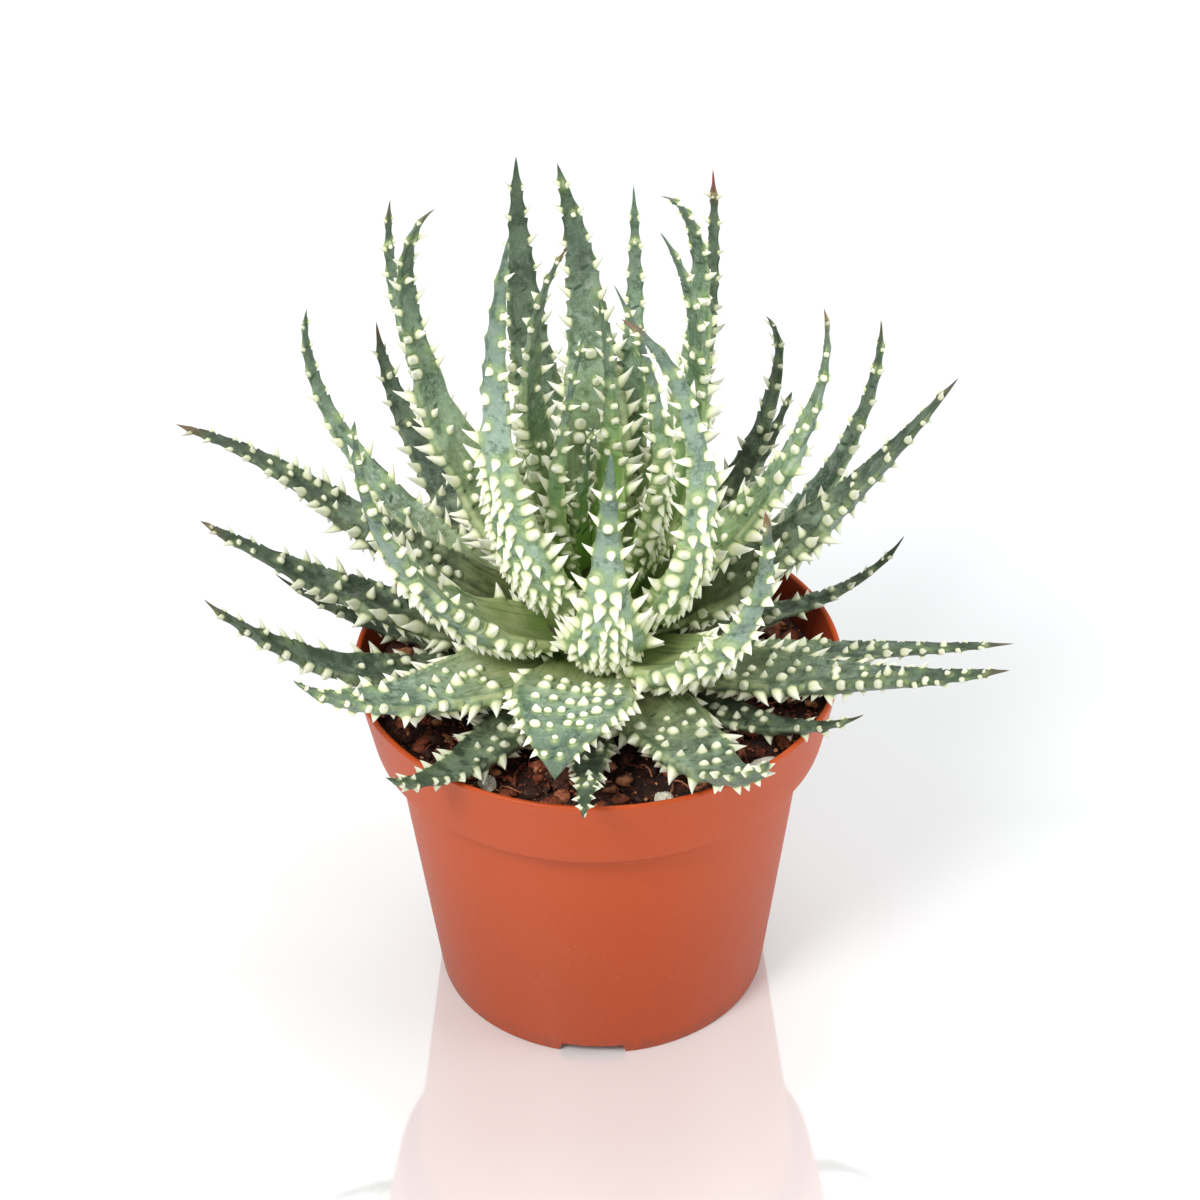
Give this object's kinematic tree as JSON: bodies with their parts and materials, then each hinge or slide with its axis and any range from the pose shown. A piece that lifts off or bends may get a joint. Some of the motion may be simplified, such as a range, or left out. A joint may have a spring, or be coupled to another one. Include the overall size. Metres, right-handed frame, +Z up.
{
  "type": "potted aloe",
  "caption": "Aloe rosette with long, incurved, toothed leaves on a short stem, growing in soil in a tapered round plastic nursery pot.",
  "frame": {"origin": "middle of the pot's foot, on the surface that it stands on", "axes": "+Z up along the pot's axis; -Y towards the front, where one notch of the foot shows; +X to the right seen from the front"},
  "size_m": [0.2022, 0.1543, 0.221],
  "materials": {
    "pot_plastic": "terracotta-orange moulded plastic with a soft sheen",
    "soil": null,
    "pumice": null,
    "stem": null,
    "leaf": null
  },
  "bodies": {
    "root": {"pot": "pot_plastic", "soil": "soil", "stem": "stem", "pumice_granule_1": "pumice", "pumice_granule_2": "pumice", "pumice_granule_3": "pumice", "leaf_01": "leaf", "leaf_02": "leaf", "leaf_03": "leaf", "leaf_04": "leaf", "leaf_05": "leaf", "leaf_06": "leaf", "leaf_07": "leaf", "leaf_08": "leaf", "leaf_09": "leaf", "leaf_10": "leaf", "leaf_11": "leaf", "leaf_12": "leaf", "leaf_13": "leaf", "leaf_14": "leaf", "leaf_15": "leaf", "leaf_16": "leaf", "leaf_17": "leaf", "leaf_18": "leaf", "leaf_19": "leaf", "leaf_20": "leaf", "leaf_21": "leaf", "leaf_22": "leaf", "leaf_23": "leaf", "leaf_24": "leaf", "leaf_25": "leaf", "leaf_26": "leaf", "leaf_27": "leaf", "leaf_28": "leaf", "leaf_29": "leaf", "leaf_30": "leaf", "leaf_31": "leaf", "leaf_32": "leaf", "leaf_33": "leaf", "leaf_34": "leaf", "leaf_35": "leaf", "leaf_36": "leaf", "leaf_37": "leaf", "leaf_38": "leaf", "leaf_39": "leaf", "leaf_40": "leaf", "leaf_41": "leaf", "leaf_42": "leaf", "leaf_43": "leaf", "leaf_44": "leaf"}
  },
  "joints": []
}
